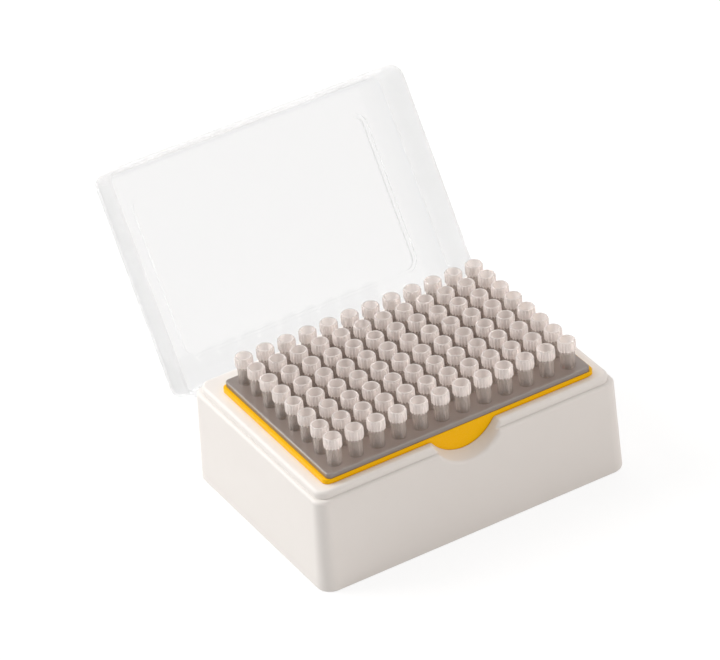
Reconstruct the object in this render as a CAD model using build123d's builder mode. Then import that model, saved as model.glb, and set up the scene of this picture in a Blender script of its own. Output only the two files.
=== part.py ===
from build123d import *
import math
import os

# Box of pipette tips, in millimetres. X runs along the box, +Y is the hinge side, +Z is up.
# The origin is the centre of the base's footprint, on the surface that the box stands on.
# The sizes are chosen from the inside out: tips, plate, insert, base, then lid.

# Tips
tip_pitch = 9.0
tip_columns = 12
tip_rows = 8
tip_length = 51.0
tip_stand_out = 11.5        # height of the tips above the plate
tip_shank_radius = 2.5      # just below the plate
tip_seat = 0.35             # step out to the body, which rests on the plate
tip_middle_radius = 1.6
tip_end_radius = 0.5
tip_wall = 0.45
tip_middle_drop = 23.0      # from the seat down to the change of taper
collar_step = 0.2           # collar beyond the body
collar_height = 4.1
socket_depth = 3.6          # straight mouth that takes a pipette's nozzle
rib_count = 16
rib_height = 0.35
rib_width = 0.6
rib_overrun = 0.5           # how far the ribs run below the collar
rib_top_gap = 0.4

# Plate that the tips hang in
plate_margin_x = 6.25
plate_margin_y = 5.6
plate_thickness = 2.0
plate_corner = 1.8
plate_edge_round = 0.5
hole_clearance = 0.1

# Insert that carries the plate
reveal_end = 1.4            # frame showing beyond the plate at each end
reveal_side = 0.25          # and along its front and back
flange_thickness = 1.8
flange_seat = 1.3           # each end of the frame that lies on the rim of the base
flange_corner = 2.5
flange_round = 0.2
insert_wall = 1.4
insert_depth = 18.0
insert_clearance = 0.2
lattice_rib = 1.2
lattice_depth = 9.0

# Base
rim_side = 5.95
rim_front = 3.55
rim_back = 9.15
rim_rise = 2.9              # rim above the ledge
rim_round = 1.5
ledge_width = 1.6
ledge_round = 1.4
corner_radius = 6.0
wall_draft = 2.2            # degrees
skirt_wall = 1.8
tub_wall = 1.6
tub_corner = 2.6
neck_wall = 1.6
top_wall = 1.8
foot_round = 0.8
floor_height = 1.8          # top of the floor, whose underside is flush with the foot
tip_end_gap = 4.0           # free space under the tips
gusset_thickness = 1.4
gusset_lift = 3.0
gusset_pitch_y = 22.0
gusset_pitch_x = 28.0
end_gussets = 3             # at each end
back_gussets = 4

# Finger notch
notch_radius = 16.3
notch_depth = 7.4           # below the ledge, at the outer face
notch_slope = 26.0          # degrees, down towards the outside
notch_lip = 1.5             # rounding of its outer edge

# Hinge
open_angle = 123.0
hinge_drop = 4.7            # pin axis below the ledge
hinge_set_back = 0.9        # pin axis behind the neck
hinge_spacing = 68.0
pin_radius = 1.2
pin_length = 3.0
pin_clearance = 0.1
pin_end_gap = 0.4
knuckle_radius = 1.9
knuckle_width = 9.0
knuckle_gap = 0.35
pad_wall = 1.3
pad_cheek = 5.2             # pad beside the recess
pad_round = 0.6
stop_gap = 0.1

# Lid
lid_wall = 1.2
lid_clearance = 0.25        # around the neck
lid_gap = 0.25              # above the ledge when shut
lid_draft = 4.0             # degrees
lid_edge_round = 4.0
head_gap = 1.5              # above the tips when shut
panel_length = 100.0
panel_width = 62.0
panel_corner = 4.0
panel_depth = 1.0

# Radii, from the hole in the plate out
tip_body_radius = tip_shank_radius + tip_seat
collar_radius = tip_body_radius + collar_step
socket_radius = collar_radius - tip_wall

# Heights, from the floor up
plate_top = floor_height + tip_end_gap + tip_length - tip_stand_out
plate_bottom = plate_top - plate_thickness
rim_height = plate_bottom - flange_thickness
ledge_height = rim_height - rim_rise
notch_bottom = ledge_height - notch_depth
under_ledge = ledge_height - top_wall
tip_top = plate_top + tip_stand_out

# Lengths and widths, from the tips out
grid_length = (tip_columns - 1) * tip_pitch
grid_width = (tip_rows - 1) * tip_pitch
rack_y = (rim_front - rim_back) / 2
plate_length = grid_length + 2 * plate_margin_x
plate_width = grid_width + 2 * plate_margin_y
flange_length = plate_length + 2 * reveal_end
insert_length = flange_length - 2 * flange_seat
insert_width = plate_width + 2 * reveal_side
tub_length = insert_length + 2 * insert_clearance
tub_width = insert_width + 2 * insert_clearance
neck_length = tub_length + 2 * rim_side
neck_width = tub_width + rim_front + rim_back
neck_corner = corner_radius - ledge_width
ledge_length = neck_length + 2 * ledge_width
ledge_span = neck_width + 2 * ledge_width
draft_inset = ledge_height * math.tan(math.radians(wall_draft))
base_length = ledge_length + 2 * draft_inset
base_width = ledge_span + 2 * draft_inset

# Hinge places
opened = math.radians(open_angle)
hinge_y = neck_width / 2 + hinge_set_back
hinge_z = ledge_height - hinge_drop
bore_radius = pin_radius + pin_clearance
pad_face = hinge_y + bore_radius + pad_wall
recess_half = knuckle_width / 2 + knuckle_gap
pad_half = recess_half + pad_cheek
lid_outer = lid_clearance + lid_wall
arm_out = neck_width / 2 + lid_outer - hinge_y
arm_in = arm_out - lid_wall
stop_reach = (pad_face - hinge_y - arm_out * math.cos(opened)) / math.sin(opened)
stop_height = hinge_z - arm_out * math.sin(opened) + stop_reach * math.cos(opened) - stop_gap
lid_plane = Plane(
    origin=(0, hinge_y, hinge_z),
    x_dir=(1, 0, 0),
    z_dir=(0, math.sin(opened), math.cos(opened)),
)
lid_rim = hinge_drop + lid_gap      # above the pin axis, in the lid's own plane
lid_height = tip_top + head_gap + panel_depth + lid_wall - ledge_height - lid_gap
lid_up = Axis(lid_plane.origin, lid_plane.z_dir)

# Planes that the recesses and knuckles are drawn on
knuckle_plane = Plane(origin=lid_plane.origin, x_dir=lid_plane.y_dir, z_dir=(1, 0, 0))
knuckle_places = (-hinge_spacing / 2, hinge_spacing / 2)


def rounded(length, width, corner, centre_y=0.0):
    """Add a rounded rectangle to the current sketch."""
    with Locations((0, centre_y)):
        RectangleRounded(length, width, corner)


def make_gussets():
    """Ribs from the tub out to the base's footprint, at the ends and along the back."""
    reach_x = base_length / 2
    reach_y = base_width / 2
    foot_x = (tub_length + tub_wall) / 2
    foot_y = rack_y + (tub_width + tub_wall) / 2
    with BuildPart() as gussets:
        with BuildSketch(Plane.XY.offset(gusset_lift)):
            with GridLocations(reach_x + foot_x, gusset_pitch_y, 2, end_gussets):
                Rectangle(reach_x - foot_x, gusset_thickness)
            with Locations((0, (reach_y + foot_y) / 2)):
                with GridLocations(gusset_pitch_x, 0, back_gussets, 1):
                    Rectangle(gusset_thickness, reach_y - foot_y)
        extrude(amount=rim_height - gusset_lift)
    return gussets.part


def make_notch_bridge():
    """Solid from the front to the tub, which the finger notch is cut into."""
    front = -base_width / 2
    back = rack_y - (tub_width + tub_wall) / 2
    low = notch_bottom - 2 * top_wall
    with BuildPart() as bridge:
        with BuildSketch(Plane.XY.offset(low)):
            with Locations((0, (front + back) / 2)):
                Rectangle(2 * (notch_radius + top_wall), back - front)
        extrude(amount=rim_height - low)
    return bridge.part


def make_hollow():
    """Room inside the skirt and the neck, less the ribs and the solid at the notch."""
    gussets = make_gussets()
    bridge = make_notch_bridge()
    with BuildPart() as hollow:
        with BuildSketch():
            rounded(base_length - 2 * skirt_wall, base_width - 2 * skirt_wall, corner_radius - skirt_wall)
        extrude(amount=under_ledge, taper=wall_draft)
        with BuildSketch(Plane.XY.offset(under_ledge)):
            rounded(neck_length - 2 * neck_wall, neck_width - 2 * neck_wall, neck_corner - neck_wall)
        extrude(amount=rim_rise)
        add(gussets, mode=Mode.SUBTRACT)
        add(bridge, mode=Mode.SUBTRACT)
    return hollow.part


def make_notch():
    """Tilted cylinder whose lower side is the floor of the finger notch."""
    slope = math.radians(notch_slope)
    face_y = -base_width / 2 + notch_bottom * math.tan(math.radians(wall_draft))
    centre_z = notch_bottom + notch_radius / math.cos(slope)
    reach = 2 * (rim_front + ledge_width + skirt_wall)
    across = Plane(
        origin=(0, face_y, centre_z),
        x_dir=(1, 0, 0),
        z_dir=(0, math.cos(slope), math.sin(slope)),
    )
    with BuildPart() as notch:
        with BuildSketch(across.offset(-reach)):
            Circle(notch_radius)
        extrude(amount=2 * reach)
    return notch.part


def make_hinge_pads():
    """Blocks in the back wall that hold the lid's pins."""
    rise = ledge_height - ledge_round - lid_gap - hinge_z
    foot = rack_y + (tub_width + tub_wall) / 2
    with BuildPart() as pads:
        with BuildSketch(Plane.XY.offset(hinge_z - rise)):
            with Locations((0, (pad_face + foot) / 2)):
                with GridLocations(hinge_spacing, 0, 2, 1):
                    Rectangle(2 * pad_half, pad_face - foot)
        extrude(amount=2 * rise)
        fillet(pads.edges().filter_by(Axis.X).group_by(Axis.Y)[-1], radius=pad_round)
    return pads.part


def make_hinge_recesses():
    """Room for the lid's knuckles, with a blind bore each side for their pins."""
    inner = hinge_y - knuckle_radius - knuckle_gap
    outer = pad_face + ledge_width
    neck_face = neck_width / 2
    step = hinge_z + knuckle_radius + knuckle_gap
    bore_end = knuckle_width / 2 + pin_length + pin_end_gap
    with BuildPart() as recesses:
        for place in knuckle_places:
            with BuildSketch(Plane.YZ.offset(place - recess_half)):
                with BuildLine():
                    Polyline(
                        (inner, stop_height),
                        (outer, stop_height),
                        (outer, ledge_height),
                        (neck_face, ledge_height),
                        (neck_face, step),
                        (inner, step),
                        close=True,
                    )
                make_face()
            extrude(amount=2 * recess_half)
            with BuildSketch(Plane.YZ.offset(place - bore_end)):
                with Locations((hinge_y, hinge_z)):
                    Circle(bore_radius)
            extrude(amount=2 * bore_end)
    return recesses.part


def make_base():
    """One moulding: skirt, ledge, neck, and the tub that the insert drops into."""
    hollow = make_hollow()
    notch = make_notch()
    pads = make_hinge_pads()
    recesses = make_hinge_recesses()
    with BuildPart() as base:
        # Outside: a block that widens to the foot, with the neck on top
        with BuildSketch():
            rounded(base_length, base_width, corner_radius)
        extrude(amount=ledge_height, taper=wall_draft)
        fillet(base.faces().sort_by(Axis.Z)[0].edges(), radius=foot_round)
        fillet(base.faces().sort_by(Axis.Z)[-1].edges(), radius=ledge_round)
        with BuildSketch(Plane.XY.offset(under_ledge)):
            rounded(neck_length, neck_width, neck_corner)
        extrude(amount=rim_height - under_ledge)
        fillet(base.faces().sort_by(Axis.Z)[-1].edges(), radius=rim_round)

        add(hollow, mode=Mode.SUBTRACT)

        # Inside: the tub, tied to the skirt by the ribs
        with BuildSketch():
            rounded(tub_length + 2 * tub_wall, tub_width + 2 * tub_wall, tub_corner + tub_wall, rack_y)
        extrude(amount=under_ledge + rim_rise)
        add(pads)
        with BuildSketch(Plane.XY.offset(floor_height)):
            rounded(tub_length, tub_width, tub_corner, rack_y)
        extrude(amount=rim_height - floor_height, mode=Mode.SUBTRACT)
        add(notch, mode=Mode.SUBTRACT)
        scoop = base.faces(Select.LAST).filter_by(lambda face: face.radius == notch_radius)
        lip = scoop.edges().filter_by_position(Axis.Y, -base_width / 2, (rim_round - neck_width) / 2)
        fillet(lip, radius=notch_lip)
        add(recesses, mode=Mode.SUBTRACT)
    return base


def make_insert():
    """Carrier: end flanges on the rim, a skirt in the tub and a lattice under the plate."""
    inner_length = insert_length - 2 * insert_wall
    inner_width = insert_width - 2 * insert_wall
    inner_corner = tub_corner - insert_clearance - insert_wall
    with BuildPart() as insert:
        with BuildSketch(Plane.XY.offset(rim_height)):
            rounded(flange_length, insert_width, flange_corner, rack_y)
        extrude(amount=flange_thickness)
        fillet(insert.faces().sort_by(Axis.Z)[-1].edges(), radius=flange_round)
        with BuildSketch(Plane.XY.offset(rim_height - insert_depth)):
            rounded(insert_length, insert_width, tub_corner - insert_clearance, rack_y)
        extrude(amount=insert_depth)
        with BuildSketch(Plane.XY.offset(rim_height - insert_depth)):
            rounded(inner_length, inner_width, inner_corner, rack_y)
        extrude(amount=insert_depth + flange_thickness, mode=Mode.SUBTRACT)
        with BuildSketch(Plane.XY.offset(plate_bottom - lattice_depth)):
            with Locations((0, rack_y)):
                with GridLocations(0, tip_pitch, 1, tip_rows - 1):
                    Rectangle(inner_length + insert_wall, lattice_rib)
                with GridLocations(tip_pitch, 0, tip_columns - 1, 1):
                    Rectangle(lattice_rib, inner_width + insert_wall)
        extrude(amount=lattice_depth)
    return insert


def make_plate():
    """Flat plate with one hole for each tip."""
    with BuildPart() as plate:
        with BuildSketch(Plane.XY.offset(plate_bottom)):
            rounded(plate_length, plate_width, plate_corner, rack_y)
            with Locations((0, rack_y)):
                with GridLocations(tip_pitch, tip_pitch, tip_columns, tip_rows):
                    Circle(tip_shank_radius + hole_clearance, mode=Mode.SUBTRACT)
        extrude(amount=plate_thickness)
        rim = plate.faces().sort_by(Axis.Z)[-1].outer_wire()
        fillet(rim.edges(), radius=plate_edge_round)
    return plate


def make_tip():
    """Hollow tip on the Z axis, seated on the plate by the step in its body."""
    end_height = tip_top - tip_length
    middle_height = plate_top - tip_middle_drop
    collar_low = tip_top - collar_height
    with BuildPart() as tip:
        with BuildSketch(Plane.XZ):
            with BuildLine():
                Polyline(
                    (socket_radius, tip_top),
                    (collar_radius, tip_top),
                    (collar_radius, collar_low),
                    (tip_body_radius, collar_low),
                    (tip_body_radius, plate_top),
                    (tip_shank_radius, plate_top),
                    (tip_middle_radius, middle_height),
                    (tip_end_radius, end_height),
                    (tip_end_radius - tip_wall / 2, end_height),
                    (tip_middle_radius - tip_wall, middle_height),
                    (tip_shank_radius - tip_wall, plate_top),
                    (tip_body_radius - tip_wall, collar_low),
                    (socket_radius, tip_top - socket_depth),
                    close=True,
                )
            make_face()
        revolve(axis=Axis.Z)
        with BuildSketch(Plane.XY.offset(collar_low - rib_overrun)):
            with PolarLocations(collar_radius, rib_count):
                Rectangle(2 * rib_height, rib_width)
        extrude(amount=collar_height + rib_overrun - rib_top_gap)
    return tip


def make_lid_block(grown, height, edge_round, sunk_grown, foot):
    """Drafted block around the neck, with a shallow sunk panel in its top."""
    with BuildPart() as block:
        with BuildSketch(lid_plane.offset(foot)):
            rounded(neck_length + 2 * grown, neck_width + 2 * grown, neck_corner + grown, -hinge_y)
        extrude(amount=height, taper=lid_draft)
        fillet(block.faces().sort_by(lid_up)[-1].edges(), radius=edge_round)
        with BuildSketch(lid_plane.offset(foot + height - panel_depth)):
            rounded(
                panel_length + 2 * sunk_grown,
                panel_width + 2 * sunk_grown,
                panel_corner + sunk_grown,
                -hinge_y,
            )
        extrude(amount=panel_depth, mode=Mode.SUBTRACT)
    return block.part


def make_lid():
    """Clear cover, modelled in the open pose, with its knuckles and pins."""
    outside = make_lid_block(lid_outer, lid_height, lid_edge_round, 0, lid_rim)
    inside = make_lid_block(
        lid_clearance, lid_height - lid_wall, lid_edge_round - lid_wall, lid_wall, lid_rim
    )
    bore_reach = knuckle_width / 2 + pin_length
    with BuildPart() as lid:
        add(outside)
        add(inside, mode=Mode.SUBTRACT)
        for place in knuckle_places:
            with BuildSketch(knuckle_plane.offset(place - knuckle_width / 2)):
                Circle(knuckle_radius)
                with Locations(((arm_in + arm_out) / 2, (lid_rim + lid_wall) / 2)):
                    Rectangle(arm_out - arm_in, lid_rim + lid_wall)
            extrude(amount=knuckle_width)
            with BuildSketch(knuckle_plane.offset(place - bore_reach)):
                Circle(pin_radius)
            extrude(amount=2 * bore_reach)
    return lid


def make_tip_column(tip, column):
    """The tips of one column, as separate solids."""
    place_x = (column - (tip_columns - 1) / 2) * tip_pitch
    with BuildPart() as tips:
        with Locations((place_x, rack_y)):
            with GridLocations(0, tip_pitch, 1, tip_rows):
                add(tip.part)
    return tips


def save(piece, name):
    piece.part.label = name
    export_step(piece.part, f"parts/{name}.step")


os.makedirs("parts", exist_ok=True)
save(make_base(), "base")
save(make_insert(), "tip_insert")
save(make_plate(), "tip_plate")
save(make_lid(), "lid")
one_tip = make_tip()
for number in range(tip_columns):
    save(make_tip_column(one_tip, number), f"tips_column_{number + 1:02d}")
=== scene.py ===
import math
import random

import bmesh
import bpy
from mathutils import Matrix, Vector


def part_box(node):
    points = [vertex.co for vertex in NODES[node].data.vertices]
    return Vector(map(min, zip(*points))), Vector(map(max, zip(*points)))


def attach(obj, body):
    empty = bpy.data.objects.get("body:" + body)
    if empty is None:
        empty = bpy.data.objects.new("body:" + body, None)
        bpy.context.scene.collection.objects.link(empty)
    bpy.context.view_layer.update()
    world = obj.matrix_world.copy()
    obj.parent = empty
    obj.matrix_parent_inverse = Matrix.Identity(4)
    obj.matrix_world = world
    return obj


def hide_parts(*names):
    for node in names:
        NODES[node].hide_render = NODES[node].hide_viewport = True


# Visual model of the box of pipette tips. Lengths are in metres unless a name ends in MM,
# and light is in watts.
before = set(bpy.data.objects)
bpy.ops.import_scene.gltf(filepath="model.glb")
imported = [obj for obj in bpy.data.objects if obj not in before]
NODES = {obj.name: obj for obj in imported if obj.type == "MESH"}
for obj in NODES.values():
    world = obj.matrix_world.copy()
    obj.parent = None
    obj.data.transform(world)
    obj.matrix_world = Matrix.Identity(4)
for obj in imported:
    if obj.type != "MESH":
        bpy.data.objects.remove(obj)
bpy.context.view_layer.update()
MM = 0.001
WHITE = (1, 1, 1, 1)

# ---------------------------------------------------------------- materials


def add_node(tree, kind, **values):
    """Make a node; values are its input sockets, with _ for a space."""
    node = tree.nodes.new(kind)
    for key, value in values.items():
        node.inputs[key.replace("_", " ")].default_value = value
    return node


def noise_at(tree, scale, detail):
    """Noise over the piece's own coordinates; returns its value socket."""
    place = tree.nodes.new("ShaderNodeTexCoord")
    noise = add_node(tree, "ShaderNodeTexNoise", Scale=scale, Detail=detail, Roughness=0.6)
    tree.links.new(place.outputs["Object"], noise.inputs["Vector"])
    return noise.outputs["Fac"]


NOISE_LOW = 0.3
NOISE_HIGH = 0.7


def spread(tree, value, low, high):
    """Map the usual range of a noise value to low..high."""
    ranged = add_node(tree, "ShaderNodeMapRange", To_Min=low, To_Max=high)
    ranged.inputs["From Min"].default_value = NOISE_LOW
    ranged.inputs["From Max"].default_value = NOISE_HIGH
    tree.links.new(value, ranged.inputs["Value"])
    return ranged.outputs["Result"]


def tinted(tree, value, dark, light):
    """Mix two colours by a noise value."""
    mix = tree.nodes.new("ShaderNodeMix")
    mix.data_type = "RGBA"
    colours = [s for s in mix.inputs if s.type == "RGBA"]
    colours[0].default_value = (*dark, 1)
    colours[1].default_value = (*light, 1)
    tree.links.new(value, mix.inputs["Factor"])
    return next(s for s in mix.outputs if s.type == "RGBA")


def bumped(tree, heights, rounding=0.0):
    """Stack bumps given as (value socket, strength, depth); an optional rounding softens edges."""
    normal = None
    if rounding:
        bevel = add_node(tree, "ShaderNodeBevel", Radius=rounding)
        bevel.samples = 4
        normal = bevel.outputs["Normal"]
    for value, strength, depth in heights:
        bump = add_node(tree, "ShaderNodeBump", Strength=strength, Distance=depth)
        tree.links.new(value, bump.inputs["Height"])
        if normal is not None:
            tree.links.new(normal, bump.inputs["Normal"])
        normal = bump.outputs["Normal"]
    return normal


def empty_material(name):
    """Make a material whose tree holds only its output."""
    material = bpy.data.materials.new(name)
    material.use_nodes = True
    tree = material.node_tree
    tree.nodes.clear()
    return material, tree, tree.nodes.new("ShaderNodeOutputMaterial")


def new_material(name):
    """Make a material with one Principled shader."""
    material, tree, out = empty_material(name)
    shader = tree.nodes.new("ShaderNodeBsdfPrincipled")
    tree.links.new(shader.outputs["BSDF"], out.inputs["Surface"])
    return material, tree, shader, out


# Scales of the noises in turns for each metre, and depths of their bumps
DRIFT_SCALE = 28
FLOW_SCALE = 60
GRAIN_SCALE = 2600
CLEAR_FLOW_SCALE = 45
CLEAR_GRAIN_SCALE = 900
FLOW_STRENGTH = 0.25
FLOW_DEPTH = 0.0001
CLEAR_FLOW_DEPTH = 0.0002
GRAIN_DEPTH = 0.00002


def moulded(name, dark, light, rough, grain, rounding, **sockets):
    """Satin moulded plastic: slow colour drift, fine grain, uneven gloss, softened edges."""
    material, tree, shader, _ = new_material(name)
    for key, value in sockets.items():
        shader.inputs[key.replace("_", " ")].default_value = value
    drift = noise_at(tree, DRIFT_SCALE, 3)
    fine = noise_at(tree, GRAIN_SCALE, 2)
    flow = noise_at(tree, FLOW_SCALE, 2)
    tree.links.new(tinted(tree, drift, dark, light), shader.inputs["Base Color"])
    tree.links.new(spread(tree, fine, rough[0], rough[1]), shader.inputs["Roughness"])
    bumps = [(flow, FLOW_STRENGTH, FLOW_DEPTH), (fine, grain, GRAIN_DEPTH)]
    normal = bumped(tree, bumps, rounding)
    tree.links.new(normal, shader.inputs["Normal"])
    return material


def clear_plastic(name, colour, rough, index, transmission, cover, light_through, grain):
    """Clear plastic that lets the lamps through; cover is the share of rays that it bends."""
    material, tree, shader, out = new_material(name)
    shader.inputs["Base Color"].default_value = (*colour, 1)
    shader.inputs["IOR"].default_value = index
    shader.inputs["Transmission Weight"].default_value = transmission
    shader.inputs["Alpha"].default_value = cover
    fine = noise_at(tree, CLEAR_GRAIN_SCALE, 2)
    flow = noise_at(tree, CLEAR_FLOW_SCALE, 2)
    tree.links.new(spread(tree, fine, rough[0], rough[1]), shader.inputs["Roughness"])
    bumps = [(flow, grain, CLEAR_FLOW_DEPTH), (fine, grain, GRAIN_DEPTH)]
    normal = bumped(tree, bumps)
    tree.links.new(normal, shader.inputs["Normal"])
    paths = tree.nodes.new("ShaderNodeLightPath")
    through = add_node(tree, "ShaderNodeBsdfTransparent", Color=(*light_through, 1))
    mix = tree.nodes.new("ShaderNodeMixShader")
    tree.links.new(paths.outputs["Is Shadow Ray"], mix.inputs["Fac"])
    tree.links.new(shader.outputs["BSDF"], mix.inputs[1])
    tree.links.new(through.outputs["BSDF"], mix.inputs[2])
    tree.links.new(mix.outputs["Shader"], out.inputs["Surface"])
    return material


base_white = moulded(
    "base_white", (0.80, 0.765, 0.735), (0.84, 0.81, 0.785), (0.38, 0.50), 0.35, 0.0004
)
insert_yellow = moulded(
    "insert_yellow",
    (1.0, 0.49, 0.0),
    (1.0, 0.57, 0.0005),
    (0.22, 0.32),
    0.3,
    0.0006,
    Specular_IOR_Level=0.12,
)
plate_grey = moulded(
    "plate_grey",
    (0.205, 0.166, 0.145),
    (0.235, 0.193, 0.170),
    (0.10, 0.20),
    0.4,
    0.0008,
    Specular_IOR_Level=1.0,
)
lid_clear = clear_plastic(
    "lid_clear", (0.49, 0.497, 0.505), (0.02, 0.06), 1.49, 1.0, 0.36, (0.97, 0.97, 0.97), 0.10
)
tip_body = clear_plastic(
    "tip_body", (0.66, 0.598, 0.56), (0.10, 0.18), 1.35, 0.55, 0.60, (0.86, 0.84, 0.83), 0.10
)
tip_collar = clear_plastic(
    "tip_collar", (0.96, 0.93, 0.915), (0.07, 0.15), 1.45, 0.60, 0.90, (0.84, 0.82, 0.81), 0.15
)


def paint(node, material):
    """Give a CAD node its one material."""
    mesh = NODES[node].data
    mesh.materials.clear()
    mesh.materials.append(material)


paint("base", base_white)
paint("tip_insert", insert_yellow)
paint("tip_plate", plate_grey)
paint("lid", lid_clear)

# --------------------------------------------------------------------- tips

SEGMENTS = 36
RIBS = 16
TIP_COLUMNS = 12
TIPS_IN_COLUMN = 8
SHARP_DEGREES = 38
# Material slots of a column of tips
BODY_SLOT = 0
COLLAR_SLOT = 1
# Radii, and heights from the mouth; a rib's root is inside the collar's wall
COLLAR_LOW_MM = -4.2
RIB_ROOT_MM = 2.9
RIB_SHOULDER_MM = 3.25
RIB_REACH_MM = 3.4
RIB_WIDTH_MM = 0.48
RIB_TOP_MM = -0.4
RIB_LOW_MM = -4.6
# Radius and height, from the mouth's outer edge down the outside and back up the inside
PROFILE_MM = (
    (2.92, 0.0),
    (3.02, -0.05),
    (3.05, -0.15),
    (3.05, -4.0),
    (2.98, -4.1),
    (2.85, -4.13),
    (2.85, -11.5),
    (2.5, -11.5),
    (1.6, -34.5),
    (0.5, -51.0),
    (0.275, -51.0),
    (1.15, -34.5),
    (2.05, -11.5),
    (2.4, -4.1),
    (2.6, -3.6),
    (2.6, -0.2),
    (2.63, -0.06),
    (2.72, 0.0),
)


def add_tip(mesh, centre, turn):
    """Lathe one hollow tip and add the ribs of its collar."""
    rings = []
    for radius, height in PROFILE_MM:
        ring = []
        for step in range(SEGMENTS):
            angle = turn + step * 2 * math.pi / SEGMENTS
            at = Vector((math.cos(angle) * radius, math.sin(angle) * radius, height)) * MM
            ring.append(mesh.verts.new(centre + at))
        rings.append(ring)
    for index, ring in enumerate(rings):
        after = rings[(index + 1) % len(rings)]
        ends = (PROFILE_MM[index], PROFILE_MM[(index + 1) % len(PROFILE_MM)])
        on_collar = min(height for _, height in ends) > COLLAR_LOW_MM
        for step in range(SEGMENTS):
            beyond = (step + 1) % SEGMENTS
            face = mesh.faces.new((ring[step], after[step], after[beyond], ring[beyond]))
            face.material_index = COLLAR_SLOT if on_collar else BODY_SLOT
            face.smooth = True
    for rib in range(RIBS):
        add_rib(mesh, centre, turn + rib * 2 * math.pi / RIBS)


# Half of a rib's section: radius, and share of the rib's width from its middle
RIB_SECTION = ((RIB_ROOT_MM, 0.5), (RIB_SHOULDER_MM, 0.36), (RIB_REACH_MM, 0.14))
# Height, and share of the full section that the rib has there
RIB_LEVELS = (
    (RIB_TOP_MM + 0.15, 0.55),
    (RIB_TOP_MM - 0.1, 1),
    (RIB_LOW_MM + 0.55, 1),
    (RIB_LOW_MM, 0.45),
)
# Share of its width that a rib keeps where it has run out
RIB_LEAST_WIDTH = 0.4


def add_rib(mesh, centre, angle):
    """One upright rib: a rounded crest that runs out to a point under the collar."""
    out = Vector((math.cos(angle), math.sin(angle), 0))
    side = Vector((-math.sin(angle), math.cos(angle), 0))
    section = [(reach, -across) for reach, across in RIB_SECTION] + list(RIB_SECTION[::-1])
    rows = []
    for height, share in RIB_LEVELS:
        width = RIB_WIDTH_MM * (RIB_LEAST_WIDTH + (1 - RIB_LEAST_WIDTH) * share)
        row = []
        for reach, across in section:
            grown = RIB_ROOT_MM + (reach - RIB_ROOT_MM) * share
            at = out * grown + side * (across * width)
            row.append(mesh.verts.new(centre + (at + Vector((0, 0, height))) * MM))
        rows.append(row)
    for upper, lower in zip(rows, rows[1:]):
        for index in range(len(section)):
            beyond = (index + 1) % len(section)
            face = mesh.faces.new((upper[index], lower[index], lower[beyond], upper[beyond]))
            face.smooth = True
            face.material_index = COLLAR_SLOT
    for row in (rows[0], rows[-1][::-1]):
        face = mesh.faces.new(row)
        face.material_index = COLLAR_SLOT


def make_tips(column, dice):
    """All the tips of one column as one piece, standing where the CAD column stands."""
    node = f"tips_column_{column:02d}"
    low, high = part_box(node)
    middle_x = (low.x + high.x) / 2
    first_y = low.y + RIB_REACH_MM * MM
    last_y = high.y - RIB_REACH_MM * MM
    shape = bmesh.new()
    for row in range(TIPS_IN_COLUMN):
        share = row / (TIPS_IN_COLUMN - 1)
        centre = Vector((middle_x, first_y + (last_y - first_y) * share, high.z))
        add_tip(shape, centre, dice.uniform(0, 2 * math.pi / RIBS))
    bmesh.ops.recalc_face_normals(shape, faces=shape.faces[:])
    mesh = bpy.data.meshes.new(f"clear_tips_{column:02d}")
    shape.to_mesh(mesh)
    shape.free()
    for material in (tip_body, tip_collar):
        mesh.materials.append(material)
    mesh.set_sharp_from_angle(angle=math.radians(SHARP_DEGREES))
    piece = bpy.data.objects.new(mesh.name, mesh)
    bpy.context.scene.collection.objects.link(piece)
    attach(piece, "box")
    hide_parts(node)


SEED = 12
dice = random.Random(SEED)
for column in range(1, TIP_COLUMNS + 1):
    make_tips(column, dice)

# -------------------------------------------------------------------- stage

HALF_FLOOR = 3.0
# What lights the object: the floor's grey and the world's level
FLOOR_GREY = 0.8
WORLD_LEVEL = 0.38
# What the camera, gloss and glass see of the floor: its glow, and the grey that keeps the shadow
FLOOR_GLOW = 0.80
FLOOR_SHADED = 0.26

floor_mesh = bpy.data.meshes.new("floor")
corners = [(x * HALF_FLOOR, y * HALF_FLOOR, 0) for x, y in ((-1, -1), (1, -1), (1, 1), (-1, 1))]
floor_mesh.from_pydata(corners, [], [(0, 1, 2, 3)])
floor = bpy.data.objects.new("floor", floor_mesh)
bpy.context.scene.collection.objects.link(floor)


def seen_rays(tree):
    """1 for rays that the camera, gloss or glass sends, 0 for the rays that light the object."""
    paths = tree.nodes.new("ShaderNodeLightPath")
    first = tree.nodes.new("ShaderNodeMath")
    first.operation = "MAXIMUM"
    tree.links.new(paths.outputs["Is Camera Ray"], first.inputs[0])
    tree.links.new(paths.outputs["Is Glossy Ray"], first.inputs[1])
    second = tree.nodes.new("ShaderNodeMath")
    second.operation = "MAXIMUM"
    tree.links.new(first.outputs[0], second.inputs[0])
    tree.links.new(paths.outputs["Is Transmission Ray"], second.inputs[1])
    return second.outputs[0]


def make_floor_material():
    """White to the eye with the object's soft shadow, plain pale grey to the light."""
    material, tree, out = empty_material("floor_white")
    plain = add_node(tree, "ShaderNodeBsdfDiffuse", Color=(*[FLOOR_GREY] * 3, 1))
    shaded = add_node(tree, "ShaderNodeBsdfDiffuse", Color=(*[FLOOR_SHADED] * 3, 1))
    glow = add_node(tree, "ShaderNodeEmission", Color=WHITE, Strength=FLOOR_GLOW)
    both = tree.nodes.new("ShaderNodeAddShader")
    mix = tree.nodes.new("ShaderNodeMixShader")
    tree.links.new(shaded.outputs[0], both.inputs[0])
    tree.links.new(glow.outputs[0], both.inputs[1])
    tree.links.new(seen_rays(tree), mix.inputs["Fac"])
    tree.links.new(plain.outputs[0], mix.inputs[1])
    tree.links.new(both.outputs[0], mix.inputs[2])
    tree.links.new(mix.outputs[0], out.inputs["Surface"])
    return material


floor_mesh.materials.append(make_floor_material())


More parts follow.
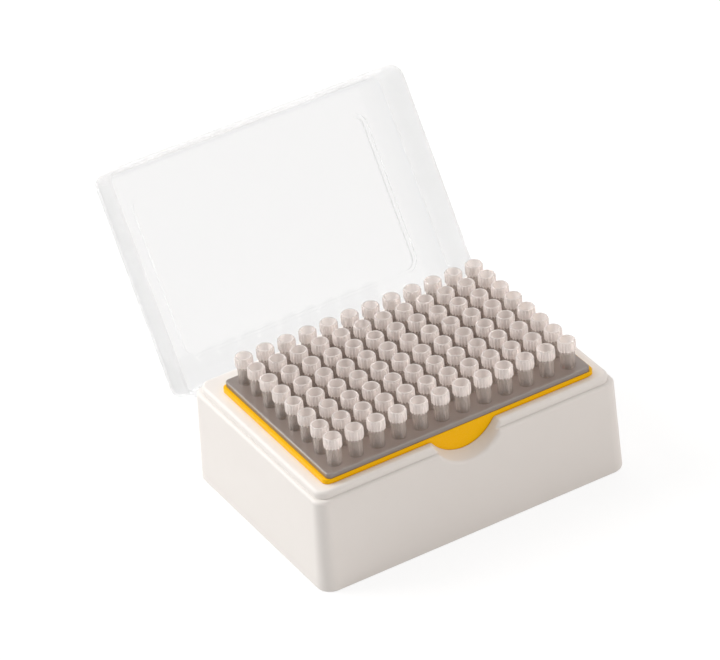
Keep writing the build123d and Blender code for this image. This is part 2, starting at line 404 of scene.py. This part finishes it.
def make_world():
    """Soft warm light on the object, plain white to the eye."""
    world = bpy.data.worlds.new("studio")
    bpy.context.scene.world = world
    world.use_nodes = True
    tree = world.node_tree
    tree.nodes.clear()
    out = tree.nodes.new("ShaderNodeOutputWorld")
    warm = (1, 0.985, 0.965, 1)
    soft = add_node(tree, "ShaderNodeBackground", Color=warm, Strength=WORLD_LEVEL)
    white = add_node(tree, "ShaderNodeBackground", Color=WHITE, Strength=1)
    mix = tree.nodes.new("ShaderNodeMixShader")
    tree.links.new(seen_rays(tree), mix.inputs["Fac"])
    tree.links.new(soft.outputs[0], mix.inputs[1])
    tree.links.new(white.outputs[0], mix.inputs[2])
    tree.links.new(mix.outputs[0], out.inputs["Surface"])


make_world()

LIT_HEIGHT = 0.04


def add_lamp(name, toward, distance, size, power, colour):
    """Square soft box that shines on the object; toward points from the object to it."""
    lamp = bpy.data.lights.new(name, "AREA")
    lamp.shape = "SQUARE"
    lamp.size = size
    lamp.energy = power
    lamp.color = colour
    holder = bpy.data.objects.new(name, lamp)
    away = Vector(toward).normalized()
    holder.location = Vector((0, 0, LIT_HEIGHT)) + away * distance
    holder.rotation_euler = away.to_track_quat("Z", "Y").to_euler()
    bpy.context.scene.collection.objects.link(holder)


add_lamp("key", (-0.60, 0.55, 0.58), 1.8, 1.0, 24, (1.0, 0.98, 0.96))
add_lamp("top", (0.15, 0.45, 0.88), 1.8, 1.4, 8.5, (1.0, 0.98, 0.96))
add_lamp("fill", (0.55, -0.75, 0.35), 2.0, 1.5, 13, (1.0, 0.91, 0.85))

# ------------------------------------------------------------------- camera

camera = bpy.data.cameras.new("camera")
camera.sensor_width = 36
camera.lens = 233.9
camera.clip_end = 20
viewer = bpy.data.objects.new("camera", camera)
viewer.location = (-0.6749, -1.2332, 1.0086)
viewer.rotation_euler = (math.radians(55.998), math.radians(4.421), math.radians(-31.090))
bpy.context.scene.collection.objects.link(viewer)
bpy.context.scene.camera = viewer
bpy.context.scene.cycles.max_bounces = 32
bpy.context.scene.cycles.glossy_bounces = 16
bpy.context.scene.cycles.transmission_bounces = 24
bpy.context.scene.view_settings.view_transform = "Standard"
